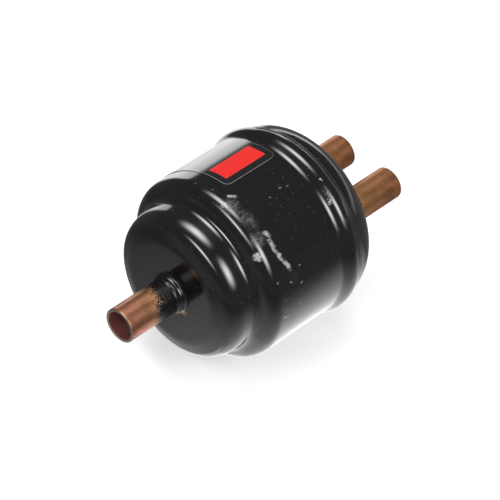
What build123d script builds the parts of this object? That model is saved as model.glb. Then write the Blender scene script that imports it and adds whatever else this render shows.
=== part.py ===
"""Solid-core filter drier with one front port and two rear ports.

Millimetres, +Z up. The origin is the centre of the front tube's mouth and +X runs
along the drier, from the front tube to the two rear tubes, which lie side by side in Y.
"""
from build123d import *
from math import atan2, cos, degrees, radians, sin, tan
import os

os.makedirs("parts", exist_ok=True)

# ---- Driving dimensions: pressed shell ----
wall = 1.8                 # sheet thickness of the shell and of the cover
body_radius = 40.2         # outside of the shell just ahead of the flared lip
shoulder_swell = 0.3       # how much larger the shoulder is than the rear of the body
shoulder_step = 7.2        # radial drop from the shoulder to the neck
neck_draft = 2.0           # radial drop from the neck to the nose corner
nose_dish_width = 8.3      # sloping margin between the flat nose face and its corner
nose_dish_depth = 4.0
neck_run = 10.3            # nose corner to neck, along the axis
shoulder_run = 4.9         # neck to shoulder
body_run = 38.8            # shoulder to the start of the flare
flare_run = 3.9            # length of the flare
flare_step = 2.4           # radial rise of the flare
lip_run = 5.1              # lip that takes the cover
lip_draw_in = 0.3          # the lip closes in a little towards its end
lip_edge_round = 0.8
dish_bend = 14.0           # outside bend radii along the shell
nose_corner_bend = 7.5
neck_bend = 5.0
shoulder_bend = 7.5
flare_root_bend = 3.5
flare_crest_bend = 3.0

# ---- Driving dimensions: rear cover and weld ----
cover_bulge = 15.5         # cover face, behind the end of the lip
cover_corner_bend = 16.0
cover_flat_margin = 0.3    # flat left round the rear collars' root rounds
cover_fit = 0.1            # slip fit of the cover and of the plate in the lip
weld_leg = 1.5             # leg of the seam weld along the cover

# ---- Driving dimensions: tubes ----
front_tube_radius = 7.6
front_tube_reach = 28.5    # mouth of the front tube, ahead of the nose face
rear_tube_radius = 7.1
rear_tube_reach = 31.3     # mouths of the rear tubes, behind the cover face
rear_tube_spacing = 26.6   # between the axes of the rear tubes
socket_radius = 6.4        # solder socket for a half-inch line
socket_depth = 13.0
socket_stop = 0.7          # step that stops the line at the end of the socket
tube_tail = 3.0            # length of tube inside the sheet
tube_edge_round = 0.25     # outer edge of the mouth
collar_wall = 1.0          # drawn collar round each tube
collar_height = 2.0
collar_root_round = 0.8
braze_fit = 0.05           # capillary gap between collar and tube
braze_leg = 1.6            # braze fillet along the tube

# ---- Driving dimensions: what the shell holds ----
plate_sheet = 1.2          # spring plate and perforated plate
mat_thickness = 8.0
mat_fit = 0.3              # mat and seal ring to the shell
core_gap = 2.4             # flow gap between core and shell at the rear
core_stand = 20.14         # front of the core, behind the nose face
core_draft = 1.0           # the moulded core is this much slimmer at its front
core_edge = 2.0
core_bore_radius = 8.0
core_bore_end = 9.0        # closed end of the bore, behind the front of the core
core_seal_length = 4.0
core_seal_fit = 0.1
perforation_radius = 2.4
perforation_pitch = 8.5
perforation_rings = 3
bead_height = 1.4
bead_half_width = 2.0
bead_margin = 6.5          # bead centre, in from the plate's rim
spring_plate_margin = 2.0  # the plate is this much smaller than the core's front
spring_plate_boss = 1.8    # raised centre that locates the spring
spring_plate_bend = 1.0    # inside bend of the boss
plate_hole_radius = 3.5
plate_hole_circle = 12.0
plate_holes = 6
spring_wire = 1.1          # wire radius
spring_wire_flats = 12     # the round wire is drawn with this many sides
spring_small_radius = 12.5
spring_large_radius = 24.0
spring_turns = 2.5

# ---- Driving dimensions: label ----
label_film = 0.15
label_glue = 0.1
label_front_margin = 9.1   # behind the shoulder
label_rear_margin = 1.0    # ahead of the flare
label_first_angle = -0.5   # degrees from the top, towards +Y
label_wrap = 100.0         # degrees
label_corner = 2.2

# ---- Worked out from the driving dimensions ----
nose_x = front_tube_reach
nose_corner_x = nose_dish_depth
neck_x = nose_corner_x + neck_run
shoulder_x = neck_x + shoulder_run
body_end_x = shoulder_x + body_run
flare_x = body_end_x + flare_run
lip_end_x = flare_x + lip_run
cover_face_x = lip_end_x + cover_bulge
shoulder_radius = body_radius + shoulder_swell
neck_radius = shoulder_radius - shoulder_step
nose_radius = neck_radius - neck_draft
flare_radius = body_radius + flare_step
lip_radius = flare_radius - lip_draw_in
cover_radius = lip_radius - wall - cover_fit
bore_radius = body_radius - wall
collar_bore = front_tube_radius + braze_fit
rear_collar_bore = rear_tube_radius + braze_fit
rear_sides = {"left": rear_tube_spacing / 2, "right": -rear_tube_spacing / 2}

# The flat of the cover has to reach past the rear collars and their root rounds.
cover_flat_radius = rear_tube_spacing / 2 + rear_collar_bore + collar_wall + collar_root_round
cover_bend = min(cover_corner_bend, cover_radius - cover_flat_radius - cover_flat_margin)

# The plate's rim rests on the slope inside the flare, and the cover's skirt holds it there.
flare_angle = atan2(flare_step, flare_run)
slope_x = body_end_x + wall * sin(flare_angle)
slope_radius = body_radius - wall * cos(flare_angle)
plate_front_x = slope_x + (cover_radius - slope_radius) / tan(flare_angle)
plate_back_x = plate_front_x + plate_sheet
core_back_x = plate_front_x - mat_thickness
core_front_x = core_stand
core_length = core_back_x - core_front_x
core_back_radius = bore_radius - core_gap
core_front_radius = core_back_radius - core_draft
spring_plate_radius = core_front_radius - spring_plate_margin
spring_seat_x = core_front_x - plate_sheet
spring_plate_boss_radius = spring_large_radius - spring_wire - spring_plate_bend
label_start = shoulder_x + label_front_margin
label_end = body_end_x - label_rear_margin

# Sections are drawn on this plane: local x is the distance behind the nose face and
# local y is the radius.
section = Plane(origin=(nose_x, 0, 0), x_dir=(1, 0, 0), z_dir=(0, -1, 0))


def face_plane(station):
    """Plane across the drier's axis, at a distance behind the nose face, facing +X."""
    return Plane(origin=(nose_x + station, 0, 0), x_dir=(0, 1, 0), z_dir=(1, 0, 0))


def finish(piece, label):
    """Label a finished piece and write it."""
    piece.part.label = label
    export_step(piece.part, f"parts/{label}.step")


# ---- Front shell: one deep-drawn cup, from the tube's collar to the flared lip ----
with BuildPart() as front_shell:
    with BuildSketch(section):
        with BuildLine():
            FilletPolyline(
                (0, collar_bore),
                (0, nose_radius - nose_dish_width),
                (nose_corner_x, nose_radius),
                (neck_x, neck_radius),
                (shoulder_x, shoulder_radius),
                (body_end_x, body_radius),
                (flare_x, flare_radius),
                (lip_end_x, lip_radius),
                radius=[dish_bend, nose_corner_bend, neck_bend, shoulder_bend,
                        flare_root_bend, flare_crest_bend],
            )
            offset(amount=wall, side=Side.RIGHT)
        make_face()
    revolve(axis=Axis.X)
    with BuildSketch(face_plane(0)):
        Circle(collar_bore + collar_wall)
        Circle(collar_bore, mode=Mode.SUBTRACT)
    extrude(amount=-collar_height)
    collar_root = front_shell.edges().filter_by(GeomType.CIRCLE).filter_by(
        lambda edge: abs(edge.center().X - nose_x) < 0.01
        and abs(edge.radius - collar_bore - collar_wall) < 0.01
    )
    fillet(collar_root, radius=collar_root_round)
    lip_edge = front_shell.edges().filter_by(GeomType.CIRCLE).filter_by(
        lambda edge: edge.center().X > nose_x + flare_x and abs(edge.radius - lip_radius) < 0.01
    )
    fillet(lip_edge, radius=lip_edge_round)
finish(front_shell, "front_shell")


# ---- Rear cover: a pressed dished cap whose skirt slips into the lip ----
with BuildPart() as rear_cover:
    with BuildSketch(section):
        with BuildLine():
            FilletPolyline(
                (plate_back_x, cover_radius),
                (cover_face_x, cover_radius),
                (cover_face_x, 0),
                radius=cover_bend,
            )
            offset(amount=wall, side=Side.RIGHT)
        make_face()
    revolve(axis=Axis.X)
    with BuildSketch(face_plane(cover_face_x)):
        with Locations(*[(y, 0) for y in rear_sides.values()]):
            Circle(rear_collar_bore + collar_wall)
    extrude(amount=collar_height)
    rear_roots = rear_cover.edges().filter_by(GeomType.CIRCLE).filter_by(
        lambda edge: abs(edge.center().X - nose_x - cover_face_x) < 0.01
        and abs(edge.radius - rear_collar_bore - collar_wall) < 0.01
    )
    fillet(rear_roots, radius=collar_root_round)
    with BuildSketch(face_plane(cover_face_x + collar_height)):
        with Locations(*[(y, 0) for y in rear_sides.values()]):
            Circle(rear_collar_bore)
    extrude(amount=-(collar_height + 2 * wall), mode=Mode.SUBTRACT)
finish(rear_cover, "rear_cover")


# ---- Seam weld: a flush bead from the lip's rounded edge down to the cover ----
weld_top = lip_radius - lip_edge_round - 0.1
weld_foot = cover_radius - wall
with BuildPart() as seam_weld:
    with BuildSketch(section):
        with BuildLine():
            ThreePointArc(
                (lip_end_x, weld_top),
                (lip_end_x + 0.6 * weld_leg, (weld_top + cover_radius) / 2),
                (lip_end_x + weld_leg, weld_foot),
            )
            Polyline(
                (lip_end_x + weld_leg, weld_foot),
                (lip_end_x, weld_foot),
                (lip_end_x, weld_top),
            )
        make_face()
        with Locations((cover_face_x - cover_bend, cover_radius - cover_bend)):
            Circle(cover_bend, mode=Mode.SUBTRACT)
    revolve(axis=Axis.X)
finish(seam_weld, "seam_weld")


# ---- Tubes: each has a solder socket at its mouth and ends just inside the sheet ----
def connection_tube(mouth, inward, centre_y, radius, reach):
    """A tube from its mouth, along the inward direction (+1 or -1 along X).

    The socket takes the line; behind it the bore steps in, and the step is the line's stop.
    """
    length = reach + wall + tube_tail
    with BuildPart() as tube:
        with BuildSketch(Plane(origin=(mouth, centre_y, 0), z_dir=(inward, 0, 0))):
            Circle(radius)
            Circle(socket_radius - socket_stop, mode=Mode.SUBTRACT)
        extrude(amount=length)
        with BuildSketch(Plane(origin=(mouth, centre_y, 0), z_dir=(inward, 0, 0))):
            Circle(socket_radius)
        extrude(amount=socket_depth, mode=Mode.SUBTRACT)
        mouth_edge = tube.edges().filter_by(GeomType.CIRCLE).filter_by(
            lambda edge: abs(edge.center().X - mouth) < 0.01 and edge.radius > socket_radius + 0.01
        )
        fillet(mouth_edge, radius=tube_edge_round)
    return tube


front_tube = connection_tube(0, 1, 0, front_tube_radius, front_tube_reach)
finish(front_tube, "front_tube")

rear_mouth_x = nose_x + cover_face_x + rear_tube_reach
for side, centre_y in rear_sides.items():
    tube = connection_tube(rear_mouth_x, -1, centre_y, rear_tube_radius, rear_tube_reach)
    finish(tube, f"rear_tube_{side}")


# ---- Braze rings: a hollow fillet of filler where each tube leaves its collar ----
def braze_ring(collar_end, outward, centre_y, tube_radius):
    """A filler fillet from the collar's rim down to the tube, on its outward side."""
    rim = braze_fit + collar_wall
    side_plane = Plane(
        origin=(collar_end, centre_y, 0), x_dir=(outward, 0, 0), z_dir=(0, -outward, 0)
    )
    with BuildPart() as ring:
        with BuildSketch(side_plane):
            with BuildLine():
                Polyline((braze_leg, tube_radius), (0, tube_radius), (0, tube_radius + rim))
                ThreePointArc(
                    (0, tube_radius + rim),
                    (0.35 * braze_leg, tube_radius + 0.4 * rim),
                    (braze_leg, tube_radius),
                )
            make_face()
        revolve(axis=Axis((collar_end, centre_y, 0), (1, 0, 0)))
    return ring


front_ring = braze_ring(nose_x - collar_height, -1, 0, front_tube_radius)
finish(front_ring, "front_braze_ring")
for side, centre_y in rear_sides.items():
    ring = braze_ring(
        nose_x + cover_face_x + collar_height, 1, centre_y, rear_tube_radius
    )
    finish(ring, f"rear_braze_ring_{side}")


# ---- Perforated plate: a pressed disc whose rim sits on the slope inside the flare ----
bead_radius = cover_radius - bead_margin
with BuildPart() as perforated_plate:
    with BuildSketch(section):
        with BuildLine():
            Polyline(
                (plate_front_x, 0),
                (plate_front_x, bead_radius - bead_half_width),
                (plate_front_x + bead_height, bead_radius - bead_half_width / 2),
                (plate_front_x + bead_height, bead_radius + bead_half_width / 2),
                (plate_front_x, bead_radius + bead_half_width),
                (plate_front_x, cover_radius),
            )
            offset(amount=plate_sheet, side=Side.RIGHT)
        make_face()
    revolve(axis=Axis.X)
    with BuildSketch(face_plane(plate_front_x)):
        Circle(perforation_radius)
        for ring_number in range(1, perforation_rings + 1):
            with PolarLocations(ring_number * perforation_pitch, 6 * ring_number):
                Circle(perforation_radius)
    extrude(amount=plate_sheet, mode=Mode.SUBTRACT)
finish(perforated_plate, "perforated_plate")


# ---- Filter mat: a needled fibre pad between the core and the perforated plate ----
with BuildPart() as filter_mat:
    with BuildSketch(face_plane(core_back_x)):
        Circle(bore_radius - mat_fit)
    extrude(amount=mat_thickness)
    fillet(filter_mat.edges(), radius=mat_thickness / 5)
finish(filter_mat, "filter_mat")


# ---- Desiccant core: a moulded block with a slight draft and a blind bore ----
with BuildPart() as desiccant_core:
    with BuildSketch(section):
        with BuildLine():
            Polyline(
                (core_front_x, 0),
                (core_front_x, core_front_radius),
                (core_back_x, core_back_radius),
                (core_back_x, 0),
                close=True,
            )
        make_face()
    revolve(axis=Axis.X)
    chamfer(
        desiccant_core.edges().filter_by(GeomType.CIRCLE).sort_by(Axis.X)[0],
        length=core_edge,
    )
    with BuildSketch(face_plane(core_back_x)):
        Circle(core_bore_radius)
    extrude(amount=-(core_length - core_bore_end), taper=2, mode=Mode.SUBTRACT)
finish(desiccant_core, "desiccant_core")


# ---- Core seal: a felt ring that centres the core and closes the gap round its back ----
with BuildPart() as core_seal:
    with BuildSketch(face_plane(core_back_x)):
        Circle(bore_radius - mat_fit)
        Circle(core_back_radius + core_seal_fit, mode=Mode.SUBTRACT)
    extrude(amount=-core_seal_length)
finish(core_seal, "core_seal")


# ---- Spring plate: a pressed disc on the core's front, with a boss that locates the spring ----
with BuildPart() as spring_plate:
    with BuildSketch(section):
        with BuildLine():
            FilletPolyline(
                (spring_seat_x, spring_plate_radius),
                (spring_seat_x, spring_plate_boss_radius),
                (spring_seat_x - spring_plate_boss, spring_plate_boss_radius - spring_plate_boss),
                (spring_seat_x - spring_plate_boss, 0),
                radius=0.6,
            )
            offset(amount=plate_sheet, side=Side.LEFT)
        make_face()
    revolve(axis=Axis.X)
    with BuildSketch(face_plane(spring_seat_x - spring_plate_boss)):
        with PolarLocations(plate_hole_circle, plate_holes):
            Circle(plate_hole_radius)
    extrude(amount=plate_sheet, mode=Mode.SUBTRACT)
finish(spring_plate, "spring_plate")


# ---- Conical spring: presses the core back against the mat from inside the nose ----
spring_start_x = wall + spring_wire
spring_end_x = spring_seat_x - spring_wire
spring_height = spring_end_x - spring_start_x
spring_cone = degrees(atan2(spring_large_radius - spring_small_radius, spring_height))
with BuildPart() as conical_spring:
    with BuildLine():
        coil = Helix(
            pitch=spring_height / spring_turns,
            height=spring_height,
            radius=spring_small_radius,
            center=(nose_x + spring_start_x, 0, 0),
            direction=(1, 0, 0),
            cone_angle=spring_cone,
        )
    with BuildSketch(Plane(origin=coil @ 0, z_dir=coil % 0)):
        RegularPolygon(spring_wire, spring_wire_flats)
    sweep()
finish(conical_spring, "conical_spring")


# ---- Label: a thin film wrapped part of the way round the body ----
def label_back(station):
    """Radius of the film's underside at a distance behind the nose face."""
    share = (station - shoulder_x) / body_run
    return shoulder_radius + share * (body_radius - shoulder_radius) + label_glue


first_edge = radians(label_first_angle)
label_plane = Plane(
    origin=(nose_x, 0, 0), x_dir=(1, 0, 0), z_dir=(0, -cos(first_edge), sin(first_edge))
)
with BuildPart() as label:
    with BuildSketch(label_plane):
        with BuildLine():
            Polyline(
                (label_start, label_back(label_start)),
                (label_end, label_back(label_end)),
                (label_end, label_back(label_end) + label_film),
                (label_start, label_back(label_start) + label_film),
                close=True,
            )
        make_face()
    revolve(axis=Axis.X, revolution_arc=-label_wrap)
    corners = label.edges().filter_by(lambda edge: edge.length < 2 * label_film)
    fillet(corners, radius=label_corner)
finish(label, "label")
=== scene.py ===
"""Filter drier: the visible surfaces, finishes, floor, lights and camera.

The frame gives every solid in metres: +X runs from the front tube's mouth to the rear
tubes, +Z is up. Sizes here are in millimetres and are turned to metres by MM.
A "station" is a distance behind the nose face, and an "arc" is a distance round the body
from its top, positive towards +Y.
"""

import logging
from dataclasses import dataclass, field
from enum import Enum
from typing import Any, Mapping, Sequence

import bpy
import numpy as np
from mathutils import Matrix, Vector


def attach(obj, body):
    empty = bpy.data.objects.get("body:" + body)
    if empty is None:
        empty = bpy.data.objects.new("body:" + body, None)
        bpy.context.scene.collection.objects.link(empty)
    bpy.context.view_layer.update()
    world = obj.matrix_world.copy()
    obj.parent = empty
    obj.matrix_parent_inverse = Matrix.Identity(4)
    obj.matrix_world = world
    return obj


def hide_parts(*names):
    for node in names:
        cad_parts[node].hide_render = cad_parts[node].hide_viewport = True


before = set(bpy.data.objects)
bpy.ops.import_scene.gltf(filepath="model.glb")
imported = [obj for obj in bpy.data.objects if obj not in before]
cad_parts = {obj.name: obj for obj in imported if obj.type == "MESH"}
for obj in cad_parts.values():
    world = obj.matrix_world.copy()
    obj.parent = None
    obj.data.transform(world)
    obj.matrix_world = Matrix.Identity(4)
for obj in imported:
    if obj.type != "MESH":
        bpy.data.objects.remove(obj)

MM = 0.001
NOSE_X = 28.5                # nose face, behind the front tube's mouth
BODY_RADIUS = 40.0           # turns an angle round the body into an arc in millimetres
BODY_START = (18.3, 40.5)    # station and radius where the straight body begins
BODY_END = (58.4, 40.25)     # and where it ends
LABEL_START = 28.3           # stations of the label's ends
LABEL_END = 57.0
ENAMEL = "#141416"
SHARP_ANGLE = 50.0           # faces that meet at more than this, in degrees, keep an edge
LOG = logging.getLogger("filter_drier")
Socket = bpy.types.NodeSocket
Tree = bpy.types.NodeTree
Pair = tuple[float, float]
Triple = tuple[float, float, float]


# ---------------------------------------------------------------- small tools
def linear(hex_colour: str) -> tuple[float, float, float, float]:
    """Turn an sRGB hex colour into linear RGBA.

    Args:
        hex_colour: six hex digits with a leading #.

    Returns:
        The linear colour with alpha 1.
    """
    parts = np.array([int(hex_colour[i : i + 2], 16) for i in (1, 3, 5)]) / 255.0
    values = np.where(parts <= 0.04045, parts / 12.92, ((parts + 0.055) / 1.055) ** 2.4)
    return (float(values[0]), float(values[1]), float(values[2]), 1.0)


def add(
    tree: Tree, kind: str, inputs: Mapping[Any, Any] | Sequence[Any] = (), **settings: Any
) -> Any:
    """Add a node with its settings, and set or link its inputs.

    Args:
        tree: the node tree.
        kind: the node's type name, without its ShaderNode start.
        inputs: what goes to each input, in order or by name or number: a value, a socket,
            or a node whose first output is used.
        **settings: the node's properties.

    Returns:
        The new node.
    """
    node = tree.nodes.new("ShaderNode" + kind)
    for name, value in settings.items():
        setattr(node, name, value)
    pairs = inputs.items() if isinstance(inputs, Mapping) else enumerate(inputs)
    for key, value in pairs:
        source = value.outputs[0] if isinstance(value, bpy.types.Node) else value
        if isinstance(source, Socket):
            tree.links.new(source, node.inputs[key])
        else:
            node.inputs[key].default_value = source
    return node


def new_material(name: str) -> tuple[bpy.types.Material, Tree]:
    """Make a node material with an empty tree.

    Args:
        name: the material's name.

    Returns:
        The material and its tree.
    """
    material = bpy.data.materials.new(name)
    material.use_nodes = True
    material.node_tree.nodes.clear()
    return material, material.node_tree


def close_material(tree: Tree, inputs: Mapping[str, Any]) -> None:
    """Add the Principled shader with these inputs and the material's output."""
    shader = add(tree, "BsdfPrincipled", inputs)
    add(tree, "OutputMaterial", {"Surface": shader})


def millimetres(tree: Tree) -> Any:
    """Object coordinates in millimetres."""
    place = add(tree, "TexCoord")
    return add(tree, "VectorMath", {0: place.outputs["Object"], "Scale": 1 / MM}, operation="SCALE")


def layered(tree: Tree, ground: Any, coats: Sequence[tuple[Any, str]]) -> Any:
    """Lay colours over a ground one after another, each through its own mask.

    Args:
        tree: the node tree.
        ground: the lowest colour, linear or a socket.
        coats: a mask and an sRGB hex colour for each coat, the lowest first.

    Returns:
        The socket of the uppermost colour.
    """
    for mask, shade in coats:
        ground = add(tree, "Mix", {0: mask, 6: ground, 7: linear(shade)}, data_type="RGBA").outputs[2]
    return ground


def unrolled(tree: Tree, place: Any) -> Any:
    """Station and arc of a point on the body.

    The arc is the angle from the top, atan2(y, z), times the body's radius.

    Args:
        tree: the node tree.
        place: position in millimetres.

    Returns:
        A node whose output has the station as X and the arc as Y, in millimetres.
    """
    parts = add(tree, "SeparateXYZ", (place,))
    station = add(tree, "Math", (parts.outputs[0], NOSE_X), operation="SUBTRACT")
    angle = add(tree, "Math", (parts.outputs[1], parts.outputs[2]), operation="ARCTAN2")
    arc = add(tree, "Math", (angle, BODY_RADIUS), operation="MULTIPLY")
    return add(tree, "CombineXYZ", (station, arc))


@dataclass(frozen=True)
class Patch:
    """An oval mark on the unrolled body: centre, half sizes, turn and strength."""

    station: float
    arc: float
    half_length: float
    half_width: float
    turn: float = 0.0
    strength: float = 1.0


def patch_mask(tree: Tree, surface: Any, patches: Sequence[Patch]) -> Any:
    """Strongest of several soft ovals: each is its strength at the centre and 0 at its edge.

    Args:
        tree: the node tree.
        surface: node with station and arc in millimetres.
        patches: the ovals.

    Returns:
        A node whose first output is the mask.
    """
    total = None
    for patch in patches:
        local = add(
            tree, "Mapping",
            {
                "Vector": surface,
                "Location": (patch.station, patch.arc, 0.0),
                "Rotation": (0.0, 0.0, float(np.radians(patch.turn))),
                "Scale": (patch.half_length, patch.half_width, 1.0),
            },
            vector_type="TEXTURE",
        )
        oval = add(tree, "TexGradient", (local,), gradient_type="SPHERICAL")
        level = add(tree, "Math", (oval.outputs["Fac"], patch.strength), operation="MULTIPLY")
        total = level if total is None else add(tree, "Math", (total, level), operation="MAXIMUM")
    return total


@dataclass(frozen=True)
class Fray:
    """How a grain frays a soft mask: its amount, and the levels where the mark begins and
    is whole."""

    amount: float
    low: float
    high: float


def ragged(tree: Tree, mask: Any, grain: Any, fray: Fray) -> Any:
    """Fray a soft mask's edge with a grain: step(mask * (1 + amount * (grain - 0.5))).

    Args:
        tree: the node tree.
        mask: the soft mask.
        grain: noise about 0.5.
        fray: the amount of grain and the step's two levels.

    Returns:
        A node whose first output is the frayed mask.
    """
    push = add(tree, "Math", (grain, fray.amount, 1.0 - 0.5 * fray.amount), operation="MULTIPLY_ADD")
    broken = add(tree, "Math", (mask, push), operation="MULTIPLY")
    return add(tree, "MapRange", (broken, fray.low, fray.high), interpolation_type="SMOOTHSTEP")


def specks(tree: Tree, place: Any, spacing: float, radius: float) -> Any:
    """Soft round dots of this radius, about this far apart in millimetres."""
    cells = add(tree, "TexVoronoi", {"Vector": place, "Scale": 1.0 / spacing})
    return add(tree, "MapRange", (cells.outputs["Distance"], radius / spacing, 0.4 * radius / spacing))


def stretched_noise(
    tree: Tree, place: Any, size: Sequence[float], detail: float = 4.0, roughness: float = 0.6
) -> Any:
    """Noise whose cells have these sizes in millimetres along each axis."""
    scaled = add(tree, "VectorMath", (place, tuple(1.0 / s for s in size)), operation="MULTIPLY")
    return add(
        tree, "TexNoise",
        {"Vector": scaled, "Scale": 1.0, "Detail": detail, "Roughness": roughness},
    )


# ---------------------------------------------------------------- finishes
class Wear(Enum):
    """How handled an enamelled piece is."""

    BODY = "body"
    PLAIN = "plain"


# Marks that handling left on the body, in unrolled millimetres.
CHIPS = (
    Patch(19.0, -31.3, 2.4, 4.4, 10, 1.0),
    Patch(27.3, -25.6, 2.3, 3.4, 24, 0.95),
    Patch(26.9, -30.5, 2.1, 7.0, 0, 1.0),
    Patch(27.9, -36.0, 2.0, 6.0, 16, 1.0),
    Patch(29.7, -40.6, 1.9, 6.0, 22, 1.0),
    Patch(26.2, -5.0, 4.4, 1.6, -40, 0.95),
    Patch(20.9, -6.3, 2.4, 1.7, 0, 0.9),
    Patch(60.6, -28.3, 1.8, 2.8, 0, 0.85),
    Patch(62.3, -19.5, 1.1, 2.2, 0, 0.7),
    Patch(24.8, -62.8, 3.4, 1.3, -10, 0.8),
    Patch(33.0, -60.7, 2.4, 0.9, 0, 0.75),
    Patch(25.0, -54.4, 2.0, 1.0, 20, 0.7),
    Patch(34.5, -51.0, 1.7, 1.1, 0, 0.7),
    Patch(45.0, -73.5, 4.4, 1.1, -52, 0.7),
    Patch(48.8, -14.0, 2.2, 0.8, 4, 0.7),
    Patch(45.6, -13.0, 1.4, 0.8, 0, 0.7),
    Patch(39.0, -14.2, 1.2, 0.7, 0, 0.65),
    Patch(22.5, -45.0, 1.7, 0.9, 30, 0.7),
    Patch(29.0, -48.0, 1.5, 0.8, 0, 0.65),
    Patch(35.5, -43.6, 1.5, 0.8, 0, 0.65),
    Patch(21.6, 10.6, 1.1, 0.7, 0, 0.65),
    Patch(23.0, 2.5, 1.2, 0.7, 0, 0.65),
)
SMEARS = (
    Patch(23.0, -8.4, 6.4, 6.4, -15, 1.0),
    Patch(22.8, -25.6, 5.8, 5.6, 10, 1.0),
    Patch(24.0, -16.5, 5.4, 9.5, 10, 0.9),
    Patch(26.5, -60.0, 9.0, 6.0, -10, 0.5),
    Patch(31.0, -48.0, 6.5, 6.5, 0, 0.45),
    Patch(61.3, -26.0, 3.0, 7.5, 0, 0.7),
    Patch(63.0, -38.0, 2.2, 8.0, 0, 0.5),
)


@dataclass(frozen=True)
class BareSpot:
    """Filler rubbed bare under the front tube's collar, in crumbs that thin out around it."""

    centre: Triple = (27.2, -7.9, -5.2)
    reach: float = 3.6
    crumb: float = 1.1
    fray: Fray = Fray(5.0, 0.4, 0.7)

    def mask(self, tree: Tree, place: Any) -> Any:
        """Mask of the crumbs.

        Args:
            tree: the node tree.
            place: position in millimetres.

        Returns:
            A node whose first output is the mask.
        """
        away = add(tree, "VectorMath", (place, self.centre), operation="DISTANCE")
        near = add(tree, "MapRange", (away.outputs["Value"], 0.0, self.reach, 1.0, 0.0))
        crumbs = stretched_noise(tree, place, (self.crumb,) * 3, 4.0, 0.8)
        return ragged(tree, near, crumbs, self.fray)


@dataclass(frozen=True)
class BlackEnamel:
    """Gloss baked enamel on drawn steel.

    The wet, levelled coat gives sharp lamp reflections that waver a little, and handling
    leaves pale scrapes, a grey haze and dust on it.
    """

    name: str = "black_enamel"
    wear: Wear = Wear.PLAIN
    colour: str = ENAMEL
    scrape: str = "#adaca8"
    haze: str = "#6f6f70"
    haze_share: float = 0.42     # how much of the coat a smear hides
    filler: str = "#c0985e"
    roughness: float = 0.1
    worn_roughness: float = 0.42
    ior: float = 1.8
    level_wave: float = 16.0     # millimetres between the coat's slow waves
    level_depth: float = 0.1     # and their height
    skin_grain: float = 0.9      # the coat's fine unevenness
    skin_depth: float = 0.04
    speck_gap: float = 2.3       # dust
    speck_radius: float = 0.2
    streak: Triple = (2.0, 1.5, 1.0)
    smear_fray: Fray = Fray(6.0, 0.2, 1.1)
    chip_fray: Fray = Fray(7.0, 0.38, 0.8)

    def handled(self, tree: Tree, place: Any, colour: Any, rough: Any) -> tuple[Any, Any]:
        """Put smears, chips and bare filler on the coat.

        Args:
            tree: the node tree.
            place: position in millimetres.
            colour: the clean coat's colour.
            rough: the clean coat's roughness.

        Returns:
            The socket of the marked colour and the node of its roughness.
        """
        surface = unrolled(tree, place)
        streak = stretched_noise(tree, surface, self.streak, 6.0, 0.9)
        smear = ragged(tree, patch_mask(tree, surface, SMEARS), streak, self.smear_fray)
        chip = ragged(tree, patch_mask(tree, surface, CHIPS), streak, self.chip_fray)
        soft = add(tree, "Math", (smear, self.haze_share), operation="MULTIPLY")
        bare = BareSpot().mask(tree, place)
        marked = layered(tree, colour, ((soft, self.haze), (chip, self.scrape), (bare, self.filler)))
        worn = add(tree, "Math", (smear, chip), operation="MAXIMUM")
        dulled = add(tree, "Mix", {0: worn, 2: rough, 3: self.worn_roughness}, data_type="FLOAT")
        return marked, dulled

    def make(self) -> bpy.types.Material:
        """Build the material.

        Returns:
            The material.
        """
        material, tree = new_material(self.name)
        place = millimetres(tree)
        slow = stretched_noise(tree, place, (self.level_wave,) * 3, 1.0)
        fine = stretched_noise(tree, place, (self.skin_grain,) * 3, 3.0)
        dust = specks(tree, place, self.speck_gap, self.speck_radius)
        colour = layered(tree, linear(self.colour), ((dust, self.haze),))
        rough = add(tree, "MapRange", {0: slow, 3: self.roughness * 0.8, 4: self.roughness * 1.35})
        if self.wear is Wear.BODY:
            colour, rough = self.handled(tree, place, colour, rough)
        wave = add(tree, "Bump", {"Height": slow, "Strength": 0.3, "Distance": self.level_depth * MM})
        skin = add(
            tree, "Bump",
            {"Height": fine, "Strength": 0.08, "Distance": self.skin_depth * MM, "Normal": wave},
        )
        close_material(
            tree, {"Base Color": colour, "Roughness": rough, "IOR": self.ior, "Normal": skin}
        )
        return material


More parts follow.
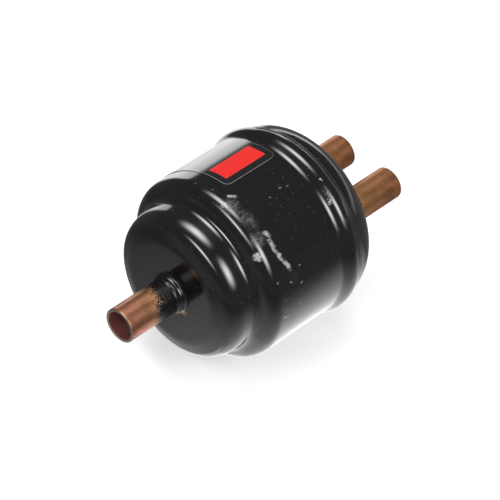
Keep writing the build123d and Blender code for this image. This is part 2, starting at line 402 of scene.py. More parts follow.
@dataclass(frozen=True)
class TubeCopper:
    """Drawn copper tube, or copper plate on steel, browned by the brazing flame.

    Handled copper is satin: broad soft reflections, brown oxide in patches, golden heat
    tints, and black enamel that drifted onto it beside the body.
    """

    name: str
    colour: str = "#bd8469"
    oxide: str = "#97624a"
    oxide_share: float = 0.7
    tint: str = "#b08a5c"
    rim: str = "#bfbcae"
    bore: str = "#9c6058"
    enamel: str = ENAMEL
    roughness: float = 0.36
    bore_roughness: float = 0.5
    enamel_roughness: float = 0.22
    bore_scale: float = 0.55     # how much of the bore is scale that hides the metal
    outer_radius: float = 7.6
    bore_edge: Pair = (6.9, 6.5)    # the wall's colour turns to the bore's
    centre_y: float = 0.0
    mouth_x: float = 0.0
    inward: float = 1.0          # +1 when the tube runs towards +X from its mouth
    heat_start: float = 6.0      # the golden tint grows from here to the drift
    drift_start: float = 14.5    # enamel begins to speckle the tube, behind the mouth
    drift_end: float = 21.0      # and covers it
    drift_lean: float = 0.0      # the drift reaches further on one side, in millimetres
    drift_sway: float = 6.0      # and wanders this far
    drift_grain: float = 6.2     # how widely its dots scatter
    drift_blur: float = 0.14
    rim_depth: float = 0.55      # bare ground edge
    rim_fray: Fray = Fray(0.5, 0.35, 0.65)

    def drift(self, tree: Tree, cloud: Any, grain: Any, depth: Any, across: Any) -> Any:
        """Enamel dots that close up towards the body.

        A dot stands where along + drift_grain * grain passes the middle of its range, and
        along grows from -0.5 to 1.5 between the drift's start and its end.

        Args:
            tree: the node tree.
            cloud: coarse noise that sways the drift's edge.
            grain: fine noise that makes the dots.
            depth: distance behind the mouth.
            across: distance from the tube's axis towards +Y.

        Returns:
            A node whose first output is the mask.
        """
        lean = self.drift_lean / self.outer_radius
        leaning = add(tree, "Math", (across, lean, depth), operation="MULTIPLY_ADD")
        clouded = add(tree, "Math", (cloud, self.drift_sway, leaning), operation="MULTIPLY_ADD")
        middle = self.drift_sway / 2
        ends = (self.drift_start + middle, self.drift_end + middle)
        along = add(tree, "MapRange", (clouded, *ends, -0.5, 1.5))
        dusted = add(tree, "Math", (grain, self.drift_grain, along), operation="MULTIPLY_ADD")
        level = 0.5 + 0.5 * self.drift_grain
        return add(tree, "MapRange", (dusted, level - self.drift_blur, level + self.drift_blur))

    def make(self) -> bpy.types.Material:
        """Build the material.

        Returns:
            The material.
        """
        material, tree = new_material(self.name)
        place = millimetres(tree)
        own = add(tree, "VectorMath", (place, (self.mouth_x, self.centre_y, 0.0)), operation="SUBTRACT")
        parts = add(tree, "SeparateXYZ", (own,))
        depth = add(tree, "Math", (parts.outputs[0], self.inward), operation="MULTIPLY")
        flat = add(tree, "CombineXYZ", (parts.outputs[1], parts.outputs[2]))
        radius = add(tree, "VectorMath", (flat,), operation="LENGTH")
        cloud = stretched_noise(tree, place, (6.0, 4.0, 4.0), 3.0)
        draw = stretched_noise(tree, place, (14.0, 0.35, 0.35), 2.0)
        grain = stretched_noise(tree, place, (0.7, 0.7, 0.7), 4.0, 0.8)

        browned = add(tree, "MapRange", (cloud, 0.4, 0.68), interpolation_type="SMOOTHSTEP")
        oxidised = add(tree, "Math", (browned, self.oxide_share), operation="MULTIPLY")
        heat = add(
            tree, "MapRange", (depth, self.heat_start, self.drift_start),
            interpolation_type="SMOOTHSTEP",
        )
        tinted = add(tree, "Math", (heat, cloud), operation="MULTIPLY")
        inside = add(tree, "MapRange", (radius.outputs["Value"], *self.bore_edge))
        edge = add(tree, "MapRange", (depth, self.rim_depth, 0.0))
        at_rim = ragged(tree, edge, grain, self.rim_fray)
        outside = add(tree, "Math", (1.0, inside), operation="SUBTRACT")
        speckled = self.drift(tree, cloud, grain, depth, parts.outputs[1])
        drift = add(tree, "Math", (speckled, outside), operation="MULTIPLY")
        colour = layered(
            tree, linear(self.colour),
            ((oxidised, self.oxide), (tinted, self.tint), (inside, self.bore),
             (at_rim, self.rim), (drift, self.enamel)),
        )
        covered = add(tree, "Math", (inside, self.bore_scale, drift), operation="MULTIPLY_ADD")
        metal = add(tree, "Math", (1.0, covered), operation="SUBTRACT", use_clamp=True)
        rough = add(tree, "MapRange", {0: draw, 3: self.roughness * 0.75, 4: self.roughness * 1.4})
        for mask, value in ((inside, self.bore_roughness), (drift, self.enamel_roughness)):
            rough = add(tree, "Mix", {0: mask, 2: rough, 3: value}, data_type="FLOAT")
        marks = add(tree, "Bump", {"Height": draw, "Strength": 0.2, "Distance": 0.05 * MM})
        skin = add(
            tree, "Bump",
            {"Height": drift, "Strength": 0.5, "Distance": 0.06 * MM, "Normal": marks},
        )
        close_material(
            tree, {"Base Color": colour, "Metallic": metal, "Roughness": rough, "Normal": skin}
        )
        return material


@dataclass(frozen=True)
class BrazeFiller:
    """Silver-brass braze fillet under drifted enamel, bare and bright where it is rubbed."""

    name: str = "braze_filler"
    colour: str = "#a8824c"
    enamel: str = ENAMEL
    spot: float = 2.2            # bare spots, apart from the rubbed one
    spot_levels: Pair = (0.7, 0.74)
    ripple: float = 0.8
    ripple_depth: float = 0.1

    def make(self) -> bpy.types.Material:
        """Build the material.

        Returns:
            The material.
        """
        material, tree = new_material(self.name)
        place = millimetres(tree)
        spots = stretched_noise(tree, place, (self.spot,) * 3, 3.0)
        ripple = stretched_noise(tree, place, (self.ripple,) * 3, 1.0)
        rubbed = add(tree, "MapRange", (spots, *self.spot_levels))
        bare = add(tree, "Math", (rubbed, BareSpot().mask(tree, place)), operation="MAXIMUM")
        colour = layered(tree, linear(self.enamel), ((bare, self.colour),))
        rough = add(tree, "MapRange", {0: spots, 3: 0.12, 4: 0.32})
        skin = add(
            tree, "Bump",
            {"Height": ripple, "Strength": 0.3, "Distance": self.ripple_depth * MM},
        )
        close_material(
            tree, {"Base Color": colour, "Metallic": bare, "Roughness": rough, "Normal": skin}
        )
        return material


@dataclass(frozen=True)
class LabelFilm:
    """Printed polyester film: semi-gloss black with a fine pale border and a red block."""

    name: str = "label_film"
    colour: str = "#161618"
    border: str = "#7c7c7d"
    block: str = "#f12c27"
    ior: float = 2.1
    box: tuple[float, float, float, float] = (LABEL_START, LABEL_END, -0.35, 69.0)
    corner: float = 3.2
    border_width: float = 0.2
    border_inset: float = 0.44   # from the film's edge to the line
    border_fray: Fray = Fray(2.4, 0.15, 1.0)
    fade: Triple = (60.0, 46.0, 0.35)    # stations, and the least left
    block_box: tuple[float, float, float, float] = (31.6, 53.8, 3.4, 13.1)
    block_corner: float = 0.12
    block_blur: float = 0.06

    def rounded_box(self, tree: Tree, surface: Any, box: Sequence[float], corner: float) -> Any:
        """Distance to a box with round corners: length(max(|p| - half + corner, 0)) - corner.

        Args:
            tree: the node tree.
            surface: station and arc in millimetres.
            box: first and last station, first and last arc.
            corner: radius of its corners.

        Returns:
            A node whose first output is the distance, below 0 inside.
        """
        half = ((box[1] - box[0]) / 2, (box[3] - box[2]) / 2)
        centre = (box[0] + half[0], box[2] + half[1], 0.0)
        own = add(tree, "VectorMath", (surface, centre), operation="SUBTRACT")
        size = add(tree, "VectorMath", (own,), operation="ABSOLUTE")
        flat_half = (half[0] - corner, half[1] - corner, 0.0)
        past = add(tree, "VectorMath", (size, flat_half), operation="SUBTRACT")
        outer = add(tree, "VectorMath", (past, (0.0, 0.0, 0.0)), operation="MAXIMUM")
        reach = add(tree, "VectorMath", (outer,), operation="LENGTH")
        return add(tree, "Math", (reach.outputs["Value"], corner), operation="SUBTRACT")

    def border_line(self, tree: Tree, surface: Any, grain: Any) -> Any:
        """The printed line round the film, worn away towards its rear end.

        Args:
            tree: the node tree.
            surface: station and arc in millimetres.
            grain: noise that breaks the line.

        Returns:
            A node whose first output is the mask.
        """
        outline = self.rounded_box(tree, surface, self.box, self.corner)
        off_line = add(tree, "Math", (outline, self.border_inset), operation="ADD")
        near_line = add(tree, "Math", (off_line,), operation="ABSOLUTE")
        line = add(tree, "MapRange", (near_line, self.border_width, 0.6 * self.border_width))
        parts = add(tree, "SeparateXYZ", (surface,))
        left = add(tree, "MapRange", (parts.outputs[0], *self.fade))
        kept = add(tree, "Math", (line, left), operation="MULTIPLY")
        return ragged(tree, kept, grain, self.border_fray)

    def make(self) -> bpy.types.Material:
        """Build the material.

        Returns:
            The material.
        """
        material, tree = new_material(self.name)
        surface = unrolled(tree, millimetres(tree))
        worn = stretched_noise(tree, surface, (2.0, 0.6, 1.0), 4.0)
        line = self.border_line(tree, surface, worn)
        block = self.rounded_box(tree, surface, self.block_box, self.block_corner)
        in_block = add(tree, "MapRange", (block, self.block_blur, -self.block_blur))
        colour = layered(tree, linear(self.colour), ((line, self.border), (in_block, self.block)))
        rough = add(tree, "MapRange", {0: worn, 3: 0.12, 4: 0.2})
        skin = add(tree, "Bump", {"Height": worn, "Strength": 0.1, "Distance": 0.03 * MM})
        close_material(
            tree, {"Base Color": colour, "Roughness": rough, "IOR": self.ior, "Normal": skin}
        )
        return material


@dataclass(frozen=True)
class PlainStock:
    """A hidden piece's finish: one colour with a grain of its own size, rough or metallic."""

    name: str
    colour: str
    dark: str
    grain: Triple
    roughness: float
    metallic: float
    depth: float                 # of the grain, in millimetres

    def make(self) -> bpy.types.Material:
        """Build the material.

        Returns:
            The material.
        """
        material, tree = new_material(self.name)
        grain = stretched_noise(tree, millimetres(tree), self.grain, 5.0)
        colour = layered(tree, linear(self.dark), ((grain, self.colour),))
        rough = add(
            tree, "MapRange",
            {0: grain, 3: self.roughness * 0.8, 4: min(1.0, self.roughness * 1.2)},
        )
        skin = add(tree, "Bump", {"Height": grain, "Strength": 0.5, "Distance": self.depth * MM})
        close_material(
            tree,
            {"Base Color": colour, "Metallic": self.metallic, "Roughness": rough, "Normal": skin},
        )
        return material


# ---------------------------------------------------------------- surfaces
def rounded_outline(
    corners: Sequence[Pair], radii: Sequence[float], arc_points: int = 10
) -> np.ndarray:
    """Round an open outline's inner corners with arcs.

    Each arc touches both sides at radius * tan(half the turn) from its corner; its points
    come from turning the start's radius vector about the arc's centre in even steps.

    Args:
        corners: the outline's points.
        radii: one radius for each inner corner.
        arc_points: points on each arc.

    Returns:
        An array of points, two columns.
    """
    points = np.asarray(corners, float)
    rows = [points[:1]]
    for before, corner, after, radius in zip(points[:-2], points[1:-1], points[2:], radii):
        back = (before - corner) / np.linalg.norm(before - corner)
        ahead = (after - corner) / np.linalg.norm(after - corner)
        turn = np.pi - np.arccos(np.clip(back @ ahead, -1.0, 1.0))
        side = np.sign(ahead[0] * back[1] - ahead[1] * back[0])
        start = corner + back * radius * np.tan(turn / 2)
        spoke = -side * np.array([back[1], -back[0]]) * radius
        centre = start - spoke
        steps = side * np.linspace(0.0, turn, arc_points)
        turned = np.stack(
            [spoke[0] * np.cos(steps) - spoke[1] * np.sin(steps),
             spoke[0] * np.sin(steps) + spoke[1] * np.cos(steps)], axis=1
        )
        rows.append(centre + turned)
    rows.append(points[-1:])
    return np.concatenate(rows)


def spaced(points: np.ndarray, step: float, least: float = 0.04) -> np.ndarray:
    """Add points at even steps along an outline.

    Args:
        points: the outline, which keeps its own points.
        step: distance between the added points.
        least: a point nearer than this to the one before it is left out.

    Returns:
        An array of points, two columns.
    """
    lengths = np.concatenate([[0.0], np.cumsum(np.linalg.norm(np.diff(points, axis=0), axis=1))])
    even = np.arange(0.0, lengths[-1], step)
    places = np.unique(np.round(np.concatenate([lengths, even]), 4))
    keep = np.concatenate([[True], np.diff(places) > least])
    places = places[keep]
    return np.stack([np.interp(places, lengths, points[:, k]) for k in (0, 1)], axis=1)


def turned_piece(
    name: str, outline: np.ndarray, centre_y: float, segments: int, ripple: float = 0.0
) -> bpy.types.Object:
    """Turn a closed outline about an axis along X.

    A point is (x, centre_y + r sin a, r cos a) over the outline's points and even angles a;
    the radius gains ripple * sin(3a + x / 9) + ripple * sin(5a) for a drawn sheet's waviness.

    Args:
        name: the piece's name.
        outline: closed outline without its repeated end, x and radius in millimetres.
        centre_y: the axis's place in Y, in millimetres.
        segments: steps round the axis.
        ripple: height of the waviness in millimetres.

    Returns:
        The object, with smooth faces that point outwards.
    """
    angles = np.linspace(0.0, 2 * np.pi, segments, endpoint=False)[None, :]
    x, radius = outline[:, :1], outline[:, 1:]
    radius = radius + ripple * (np.sin(3 * angles + x / 9.0) + np.sin(5 * angles))
    grid = np.stack(
        [x + 0 * angles, centre_y + radius * np.sin(angles), radius * np.cos(angles)], axis=-1
    )
    rows, columns = grid.shape[:2]
    index = np.arange(rows * columns).reshape(rows, columns)
    down, along = np.roll(index, -1, axis=0), np.roll(index, -1, axis=1)
    both = np.roll(down, -1, axis=1)
    quads = np.stack([index, along, both, down], axis=-1).reshape(-1, 4)
    return mesh_piece(name, grid.reshape(-1, 3), quads)


def mesh_piece(name: str, points: np.ndarray, quads: np.ndarray) -> bpy.types.Object:
    """Make a smooth closed piece whose faces point outwards.

    The sign of the enclosed volume, the sum of a . (b x c) over the faces' triangles, tells
    whether the faces have to be turned round.

    Args:
        name: the piece's name.
        points: its points in millimetres, three columns.
        quads: four point numbers for each face.

    Returns:
        The object.
    """
    a, b, c, d = (points[quads[:, k]] for k in range(4))
    volume = np.einsum("ij,ij->i", a, np.cross(b, c) + np.cross(c, d)).sum()
    if volume < 0:
        quads = quads[:, ::-1]
    mesh = bpy.data.meshes.new(name)
    mesh.from_pydata((points * MM).tolist(), [], quads.tolist())
    mesh.polygons.foreach_set("use_smooth", np.ones(len(quads), bool))
    mesh.set_sharp_from_angle(angle=float(np.radians(SHARP_ANGLE)))
    mesh.update()
    piece = bpy.data.objects.new(name, mesh)
    bpy.context.scene.collection.objects.link(piece)
    return piece


def place_piece(
    piece: bpy.types.Object, material: bpy.types.Material, replaced: Sequence[str]
) -> None:
    """Give a new piece its finish and its body, and hide the solids that it is seen instead of.

    Args:
        piece: the new piece.
        material: its finish.
        replaced: the solids that it is seen instead of.
    """
    piece.data.materials.append(material)
    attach(piece, "root")
    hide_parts(*replaced)
    LOG.info("%s: %d faces", piece.name, len(piece.data.polygons))


def dress(node: str, material: bpy.types.Material) -> None:
    """Put a finish on a solid that is kept as it is.

    Args:
        node: the solid's name in the frame.
        material: its finish.
    """
    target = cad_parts[node]
    target.data.materials.clear()
    target.data.materials.append(material)
    LOG.info("%s: finish %s", node, material.name)


# ---------------------------------------------------------------- sub-assemblies
@dataclass
class Shell:
    """The drawn shell with its collar, and the cover and weld that close it."""

    wall: float = 1.8
    collar_radius: float = 8.65
    collar_bore: float = 7.65
    collar_height: float = 2.0
    collar_round: float = 0.15
    root_round: float = 0.8      # where the collar rises from the nose
    segments: int = 288
    step: float = 1.0
    ripple: float = 0.012        # a drawn sheet is never quite round
    outer: tuple[Pair, ...] = (
        (0.0, 9.45), (0.0, 23.5), (2.0, 29.0), (3.2, 30.75), (7.0, 32.75), (15.4, 33.4),
        BODY_START, BODY_END, (62.0, 42.15), (64.2, 42.3), (66.3, 41.6), (67.0, 41.05),
    )
    bends: tuple[float, ...] = (10.0, 5.0, 5.5, 11.5, 4.5, 6.5, 5.5, 5.5, 4.5, 3.0)
    lip_round: float = 0.3
    cover_radius: float = 40.4
    weld: tuple[Pair, ...] = ((66.95, 38.8), (66.95, 41.0), (68.0, 40.78), (68.6, 40.38), (68.6, 38.8))
    weld_bends: tuple[float, ...] = (0.25, 1.2, 0.1)

    def outline(self) -> np.ndarray:
        """Closed outline: collar, outside, rounded lip, inside, and back to the bore.

        The inside lies a wall's thickness along the outside's normal, held to the cover's
        radius past the flare.

        Returns:
            An array with x and radius in millimetres.
        """
        outside = rounded_outline(self.outer, self.bends, 12)
        top = outside[-1]
        turn = np.linspace(np.pi / 2, 0.0, 7)
        lip = top - self.lip_round + self.lip_round * np.stack([np.cos(turn), np.sin(turn)], 1)
        slope = np.gradient(outside, axis=0)
        inward = np.stack([slope[:, 1], -slope[:, 0]], 1)
        inward /= np.linalg.norm(inward, axis=1)[:, None]
        inside = (outside + self.wall * inward)[::-1]
        inside[:, 0] = np.clip(inside[:, 0], self.wall, top[0])
        flare_crest = self.outer[-4][0]
        past_flare = inside[:, 0] > flare_crest
        inside[past_flare, 1] = np.maximum(inside[past_flare, 1], self.cover_radius)
        inside[0] = (top[0], self.cover_radius)
        root = self.root_round
        sweep = np.linspace(0.0, np.pi / 2, 6)
        fillet = np.stack(
            [-root + root * np.sin(sweep), self.collar_radius + root - root * np.cos(sweep)], 1
        )
        collar = np.array([
            (self.wall, self.collar_bore), (-self.collar_height, self.collar_bore),
            (-self.collar_height, self.collar_radius - self.collar_round),
            (-self.collar_height + self.collar_round, self.collar_radius),
        ])
        body = spaced(outside[outside[:, 0] < top[0] - self.lip_round], self.step)
        outline = np.concatenate([collar, fillet, body, lip, inside[:-1]])
        outline[:, 0] += NOSE_X
        return outline

    def build(self) -> None:
        """Build the shell's skin and the weld's, and dress the cover."""
        enamel = BlackEnamel("black_enamel_body", Wear.BODY).make()
        plain = BlackEnamel("black_enamel").make()
        skin = turned_piece("shell_skin", self.outline(), 0.0, self.segments, self.ripple)
        place_piece(skin, enamel, ["front_shell"])
        bead = rounded_outline(self.weld, self.weld_bends, 8)
        bead[:, 0] += NOSE_X
        weld = turned_piece("seam_weld_skin", bead, 0.0, self.segments)
        place_piece(weld, plain, ["seam_weld"])
        dress("rear_cover", plain)


@dataclass
class Tubes:
    """The front tube and the two rear tubes, with the braze at their collars."""

    front_radius: float = 7.6
    rear_radius: float = 7.1
    socket: float = 6.4
    stop: float = 0.7
    socket_depth: float = 13.0
    front_length: float = 33.3
    rear_length: float = 36.1
    rear_mouth: float = 142.3
    rear_y: float = 13.3
    edge: float = 0.45           # depth of the worn rounding at a mouth
    stop_slope: float = 0.5
    step: float = 1.5
    segments: int = 128

    def outline(self, mouth: float, inward: float, radius: float, length: float) -> np.ndarray:
        """Closed outline of a tube's wall with a worn, rounded mouth and a stepped bore.

        Args:
            mouth: the mouth's place along X.
            inward: +1 when the tube runs towards +X from its mouth, or -1.
            radius: outer radius.
            length: the tube's length.

        Returns:
            An array with x and radius in millimetres.
        """
        middle = (radius + self.socket) / 2
        half = (radius - self.socket) / 2
        sweep = np.linspace(0.0, np.pi, 13)
        rim = np.stack([self.edge - self.edge * np.sin(sweep), middle - half * np.cos(sweep)], 1)
        inner = self.socket - self.stop
        rest = np.array([
            (length, radius), (length, inner), (self.socket_depth + self.stop_slope, inner),
            (self.socket_depth, self.socket),
        ])
        outer_depths = np.arange(self.step, length, self.step)
        bore_depths = np.arange(self.socket_depth - self.step, 1.0, -self.step)
        outside = np.stack([outer_depths, np.full(len(outer_depths), radius)], 1)
        bore = np.stack([bore_depths, np.full(len(bore_depths), self.socket)], 1)
        outline = np.concatenate([rim, outside, rest, bore])
        outline[:, 0] = mouth + inward * outline[:, 0]
        return outline

    def build(self) -> None:
        """Build the three tubes and dress the braze rings."""
        plated = TubeCopper("copper_plated_steel", drift_lean=-3.0).make()
        front = turned_piece(
            "front_tube_skin",
            self.outline(0.0, 1.0, self.front_radius, self.front_length), 0.0, self.segments,
        )
        place_piece(front, plated, ["front_tube"])
        for side, y in (("left", self.rear_y), ("right", -self.rear_y)):
            # Solid copper is warmer and less browned than the plated tube.
            copper = TubeCopper(
                f"copper_{side}", colour="#cf9066", oxide="#a56c48", tint="#c0925c",
                outer_radius=self.rear_radius, centre_y=y, mouth_x=self.rear_mouth, inward=-1.0,
                drift_start=19.5, drift_end=27.5,
            ).make()
            tube = turned_piece(
                f"rear_tube_{side}_skin",
                self.outline(self.rear_mouth, -1.0, self.rear_radius, self.rear_length),
                y, self.segments,
            )
            place_piece(tube, copper, [f"rear_tube_{side}"])
        filler = BrazeFiller().make()
        for ring in ("front_braze_ring", "rear_braze_ring_left", "rear_braze_ring_right"):
            dress(ring, filler)


@dataclass
class Label:
    """The printed film on the body."""

    film: float = 0.13
    lift: float = 0.06
    start: float = LABEL_START
    end: float = LABEL_END
    first_angle: float = -0.5
    wrap: float = 100.0
    corner: float = 3.0

    def build(self) -> None:
        """Build the film as a thin closed shell that follows the body.

        Over u along the body and v round it, the film's width at u is cut back near both
        ends by corner - sqrt(corner^2 - (corner - d)^2), where d is the distance to the end.
        """
        u = np.concatenate([
            self.start + self.corner * (1 - np.cos(np.linspace(0, np.pi / 2, 10))),
            np.linspace(self.start + self.corner, self.end - self.corner, 24)[1:-1],
            self.end - self.corner * (1 - np.cos(np.linspace(np.pi / 2, 0, 10))),
        ])[:, None]
        v = np.linspace(0.0, 1.0, 97)[None, :]
        near = np.minimum(np.minimum(u - self.start, self.end - u), self.corner)
        cut = self.corner - np.sqrt(self.corner**2 - (self.corner - near) ** 2)
        cut_angle = np.degrees(cut / BODY_RADIUS)
        first = self.first_angle + cut_angle
        last = self.first_angle + self.wrap - cut_angle
        angle = np.radians(first + (last - first) * v)
        slope = (BODY_END[1] - BODY_START[1]) / (BODY_END[0] - BODY_START[0])
        under = BODY_START[1] + slope * (u - BODY_START[0]) + self.lift
        layers = [
            np.stack([NOSE_X + u + 0 * v, radius * np.sin(angle), radius * np.cos(angle)], axis=-1)
            for radius in (under + self.film, under)
        ]
        rows, columns = layers[0].shape[:2]
        index = np.arange(rows * columns).reshape(rows, columns)
        top = np.stack([index[:-1, :-1], index[1:, :-1], index[1:, 1:], index[:-1, 1:]], -1)
        under_side = top[..., ::-1] + rows * columns
        border = np.concatenate([index[:, 0], index[-1, 1:], index[-2::-1, -1], index[0, -2:0:-1]])
        after = np.roll(border, -1)
        edge = np.stack([border, border + rows * columns, after + rows * columns, after], axis=-1)
        quads = np.concatenate([top.reshape(-1, 4), under_side.reshape(-1, 4), edge])
        points = np.concatenate([layer.reshape(-1, 3) for layer in layers])
        piece = mesh_piece("label_skin", points, quads)
        place_piece(piece, LabelFilm().make(), ["label"])


@dataclass
class Contents:
    """What the shell holds; each piece keeps its solid and gets its own finish."""

    finishes: dict[str, PlainStock] = field(default_factory=lambda: {
        # Zinc plate on rolled sheet: bright, cool grey, with faint lines along the rolling.
        "perforated_plate": PlainStock(
            "zinc_plated_steel", "#c3c6c9", "#9a9da0", (6.0, 1.0, 1.0), 0.3, 1.0, 0.04),
        "spring_plate": PlainStock(
            "zinc_plated_disc", "#bfc2c6", "#979a9d", (1.0, 1.0, 6.0), 0.3, 1.0, 0.04),
        # Hard-drawn wire: dark, even and half bright.
        "conical_spring": PlainStock(
            "spring_steel", "#8d8f93", "#5f6165", (1.5, 1.5, 1.5), 0.35, 1.0, 0.03),
        # Needled polyester: off-white, matt and stringy across its face.
        "filter_mat": PlainStock(
            "polyester_mat", "#e9e8e2", "#bdbcb4", (0.4, 2.5, 2.5), 0.95, 0.0, 0.4),
        # Pressed wool: warm grey, matt and mottled.
        "core_seal": PlainStock(
            "wool_felt", "#c9c3b6", "#948d7e", (0.5, 1.2, 1.2), 0.95, 0.0, 0.3),
        # Grains moulded in a binder: cream, dull and sandy.
        "desiccant_core": PlainStock(
            "moulded_desiccant", "#ddd3c0", "#a99c86", (0.8, 0.8, 0.8), 0.9, 0.0, 0.3),
    })

    def build(self) -> None:
        """Dress each hidden piece."""
        for node, stock in self.finishes.items():
            dress(node, stock.make())


# ---------------------------------------------------------------- studio
@dataclass(frozen=True)
class Softbox:
    """A rectangular lamp that faces the drier and fades from its middle to its edges.

    Its long side lies as near as it can to the direction `along`.
    """

    name: str
    direction: Triple
    along: Triple
    length: float
    width: float
    radiance: float
    distance: float = 1.8
    fade_gain: float = 6.06
    fade_power: float = 4.0

    def build(self, aim: Vector) -> None:
        """Hang the lamp. A lamp's power is its radiance times its area times pi.

        Over the lamp, the level is gain * ((1 - (2u - 1)^2) (1 - (2v - 1)^2))^power, and the
        gain makes its mean 1.

        Args:
            aim: the point that the lamp faces, in metres.
        """
        lamp = bpy.data.lights.new(self.name, "AREA")
        lamp.use_nodes = True
        tree = lamp.node_tree
        tree.nodes.clear()
        place = add(tree, "NewGeometry")
        centred = add(
            tree, "VectorMath",
            (place.outputs["Parametric"], (2.0, 2.0, 0.0), (-1.0, -1.0, 0.0)),
            operation="MULTIPLY_ADD",
        )
        squared = add(tree, "VectorMath", (centred, centred), operation="MULTIPLY")
        fades = add(tree, "VectorMath", ((1.0, 1.0, 1.0), squared), operation="SUBTRACT")
        sides = add(tree, "SeparateXYZ", (fades,))
        level = add(tree, "Math", (sides.outputs[0], sides.outputs[1]), operation="MULTIPLY")
        peaked = add(tree, "Math", (level, self.fade_power), operation="POWER")
        strength = add(tree, "Math", (peaked, self.fade_gain), operation="MULTIPLY")
        glow = add(tree, "Emission", {1: strength})
        add(tree, "OutputLight", (glow,))
        lamp.shape = "RECTANGLE"
        lamp.size, lamp.size_y = self.length, self.width
        lamp.energy = self.radiance * self.length * self.width * float(np.pi)
        back = Vector(self.direction).normalized()
        side = (Vector(self.along) - Vector(self.along).dot(back) * back).normalized()
        turn = Matrix((side, back.cross(side), back)).transposed().to_4x4()
        holder = bpy.data.objects.new(self.name, lamp)
        holder.matrix_world = Matrix.Translation(aim + back * self.distance) @ turn
        bpy.context.scene.collection.objects.link(holder)


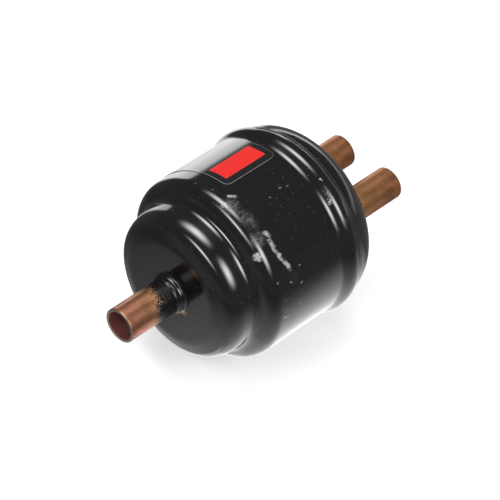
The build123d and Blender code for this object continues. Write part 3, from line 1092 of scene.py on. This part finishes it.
@dataclass
class Studio:
    """Pale floor, white surroundings, three softboxes and the camera.

    The room and the lit paper are what the enamel mirrors; directions are unit vectors and
    the paper's sizes are in millimetres.
    """

    aim: Triple = (0.0587, -0.0136, 0.0143)
    distance: float = 1.478
    azimuth: float = -138.53
    elevation: float = 43.56
    roll: float = 4.86
    lens: float = 266.0
    sensor: float = 36.0
    floor_size: float = 6.0
    floor_z: float = -0.0429
    fill: float = 0.22           # what matt surfaces get from all round
    ceiling: float = 0.1
    horizon: Pair = (0.11, 0.16)    # walls end, ceiling begins: sines
    wall_side: Triple = (0.743, 0.669, 0.0)
    wall_edge: Pair = (0.89, 0.96)  # the wall fades in: cosines from its side
    wall_level: float = 2.3      # the near white wall, on the +Y side
    far_edge: Pair = (0.8, 0.93)    # cosines from +X
    far_level: float = 0.9       # the far end of the room, past the rear tubes
    room_level: float = 0.12     # the rest of the room
    wall_centre: Triple = (20.0, -30.0, 0.0)
    near_share: float = 0.35     # of the wall's light that the paper gets near the drier
    share_reach: Pair = (120.0, 330.0)    # and where it starts and ends to grow
    glow_level: float = 1.9      # lit paper under and beside the drier
    glow_reach: float = 45.0
    glow_centre: Triple = (85.0, -30.0, 0.0)
    glow_stretch: Triple = (0.7, 1.0, 0.0)
    paper_end: float = 112.0     # the lit paper stops here along X, further out for +Y and -Y
    paper_blur: float = 12.0
    paper_slant: Triple = (1.0, -0.75, 0.0)
    dark_level: float = 0.2      # what lies past the paper
    camera_lift: float = 0.5     # brings the paper to white for the camera
    lamps: tuple[Softbox, ...] = (
        Softbox("softbox_top", (0.09, 0.24, 0.967), (0.0, 1.0, -0.2), 2.6, 1.5, 1.5),
        Softbox("softbox_side", (0.043, -0.804, 0.594), (0.0, 0.594, 0.804), 2.2, 1.5, 1.5),
        Softbox("softbox_front", (-0.6, -0.11, 0.79), (0.1, 0.9, 0.2), 2.7, 0.9, 1.5),
    )

    def build_camera(self) -> None:
        """Set the camera by its direction from the drier, its distance and its roll."""
        azimuth, elevation = np.radians(self.azimuth), np.radians(self.elevation)
        back = Vector((
            float(np.cos(elevation) * np.cos(azimuth)),
            float(np.cos(elevation) * np.sin(azimuth)), float(np.sin(elevation)),
        ))
        right = Vector((0.0, 0.0, 1.0)).cross(back).normalized()
        level = Matrix((right, back.cross(right), back)).transposed()
        turn = level @ Matrix.Rotation(float(np.radians(self.roll)), 3, "Z")
        lens = bpy.data.cameras.new("camera")
        lens.lens, lens.sensor_width = self.lens, self.sensor
        holder = bpy.data.objects.new("camera", lens)
        holder.matrix_world = (
            Matrix.Translation(Vector(self.aim) + back * self.distance) @ turn.to_4x4()
        )
        bpy.context.scene.collection.objects.link(holder)
        bpy.context.scene.camera = holder

    def wall(self, tree: Tree, direction: Any) -> Any:
        """Level of the room in a direction: the wall's within about 20 degrees of its side.

        Args:
            tree: the node tree.
            direction: the direction, whose height doesn't count.

        Returns:
            A node whose first output is the level.
        """
        level = add(tree, "VectorMath", (direction, (1.0, 1.0, 0.0)), operation="MULTIPLY")
        unit = add(tree, "VectorMath", (level,), operation="NORMALIZE")
        facing = add(tree, "VectorMath", (unit, self.wall_side), operation="DOT_PRODUCT")
        parts = add(tree, "SeparateXYZ", (unit,))
        levels = (self.room_level, self.far_level)
        room = add(tree, "MapRange", (parts.outputs[0], *self.far_edge, *levels))
        return add(
            tree, "MapRange",
            (facing.outputs["Value"], *self.wall_edge, room, self.wall_level),
            interpolation_type="SMOOTHSTEP",
        )

    def build_world(self) -> None:
        """Surroundings: white for the camera, an even fill for matt surfaces, and for shiny
        ones a room with a bright wall, a dimmer far end and a dark ceiling."""
        world = bpy.data.worlds.new("surroundings")
        bpy.context.scene.world = world
        world.use_nodes = True
        tree = world.node_tree
        tree.nodes.clear()
        path = add(tree, "LightPath")
        direction = add(tree, "TexCoord")
        height = add(tree, "SeparateXYZ", (direction.outputs["Generated"],))
        wall = self.wall(tree, direction.outputs["Generated"])
        seen = add(tree, "MapRange", (height.outputs[2], *self.horizon, wall, self.ceiling))
        shiny = self.shiny_ray(tree, path)
        lit = add(tree, "Mix", {0: shiny, 2: self.fill, 3: seen}, data_type="FLOAT")
        level = add(
            tree, "Mix", {0: path.outputs["Is Camera Ray"], 2: lit.outputs[0], 3: 1.0},
            data_type="FLOAT",
        )
        back = add(tree, "Background", {"Color": linear("#ffffff"), "Strength": level.outputs[0]})
        add(tree, "OutputWorld", {"Surface": back})

    def shiny_ray(self, tree: Tree, path: Any) -> Any:
        """1 for a ray that left a glossy or a clear surface, and 0 for any other."""
        rays = (path.outputs["Is Glossy Ray"], path.outputs["Is Transmission Ray"])
        return add(tree, "Math", rays, operation="MAXIMUM")

    def lit_paper(self, tree: Tree, place: Any) -> Any:
        """Level of the paper that shiny surfaces mirror.

        It is the glow, level * exp(-distance / reach), plus a share of the room's light that
        grows away from the drier, and it drops to the dark level past the paper's end.

        Args:
            tree: the node tree.
            place: position in millimetres.

        Returns:
            A node whose first output is the level.
        """
        beyond = add(tree, "VectorMath", (place, self.wall_centre), operation="SUBTRACT")
        reach = add(tree, "VectorMath", (beyond,), operation="LENGTH")
        share = add(tree, "MapRange", (reach.outputs["Value"], *self.share_reach, self.near_share))
        wall = add(tree, "Math", (self.wall(tree, beyond), share), operation="MULTIPLY")
        own = add(tree, "VectorMath", (place, self.glow_centre), operation="SUBTRACT")
        near = add(tree, "VectorMath", (own, self.glow_stretch), operation="MULTIPLY")
        away = add(tree, "VectorMath", (near,), operation="LENGTH")
        decay = add(tree, "Math", (away.outputs["Value"], -1.0 / self.glow_reach), operation="MULTIPLY")
        glow = add(tree, "Math", (decay,), operation="EXPONENT")
        level = add(tree, "Math", (glow, self.glow_level, wall), operation="MULTIPLY_ADD")
        mirrored = add(tree, "VectorMath", (place,), operation="ABSOLUTE")
        along = add(tree, "VectorMath", (mirrored, self.paper_slant), operation="DOT_PRODUCT")
        ends = (self.paper_end + self.paper_blur, self.paper_end - self.paper_blur)
        on_paper = add(tree, "MapRange", (along.outputs["Value"], *ends))
        return add(tree, "Mix", {0: on_paper, 2: self.dark_level, 3: level}, data_type="FLOAT")

    def floor_material(self) -> bpy.types.Material:
        """White paper: a matt sheet that shows the shadow, lifted to white for the camera.

        Returns:
            The material.
        """
        material, tree = new_material("white_paper")
        path = add(tree, "LightPath")
        place = millimetres(tree)
        grain = stretched_noise(tree, place, (4.0, 4.0, 4.0), 2.0)
        tone = layered(tree, linear("#dcdcdc"), ((grain, "#e4e4e4"),))
        paper = add(tree, "BsdfDiffuse", (tone,))
        white = linear("#ffffff")
        lift = add(tree, "Emission", (white, self.camera_lift))
        seen = add(tree, "AddShader", (paper, lift))
        lit = add(tree, "Emission", (white, self.lit_paper(tree, place)))
        for_camera = add(tree, "MixShader", (path.outputs["Is Camera Ray"], paper, seen))
        surface = add(tree, "MixShader", (self.shiny_ray(tree, path), for_camera, lit))
        add(tree, "OutputMaterial", {"Surface": surface})
        return material

    def build_floor(self) -> None:
        """Lay the floor just under the drier's widest part."""
        half = self.floor_size / 2
        mesh = bpy.data.meshes.new("floor")
        corners = [(-half, -half), (half, -half), (half, half), (-half, half)]
        mesh.from_pydata([(x, y, self.floor_z) for x, y in corners], [], [(0, 1, 2, 3)])
        mesh.materials.append(self.floor_material())
        floor = bpy.data.objects.new("floor", mesh)
        bpy.context.scene.collection.objects.link(floor)

    def build(self) -> None:
        """Build the whole studio."""
        self.build_world()
        self.build_floor()
        for lamp in self.lamps:
            lamp.build(Vector(self.aim))
        self.build_camera()
        bpy.context.scene.view_settings.view_transform = "Standard"
        LOG.info("studio: %d softboxes", len(self.lamps))


def main() -> None:
    """Build the drier and its studio."""
    logging.basicConfig(level=logging.INFO, format="%(name)s %(message)s")
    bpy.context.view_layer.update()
    for part in (Shell(), Tubes(), Label(), Contents(), Studio()):
        part.build()
        LOG.info("%s built", type(part).__name__)


if __name__ == "__main__":
    main()
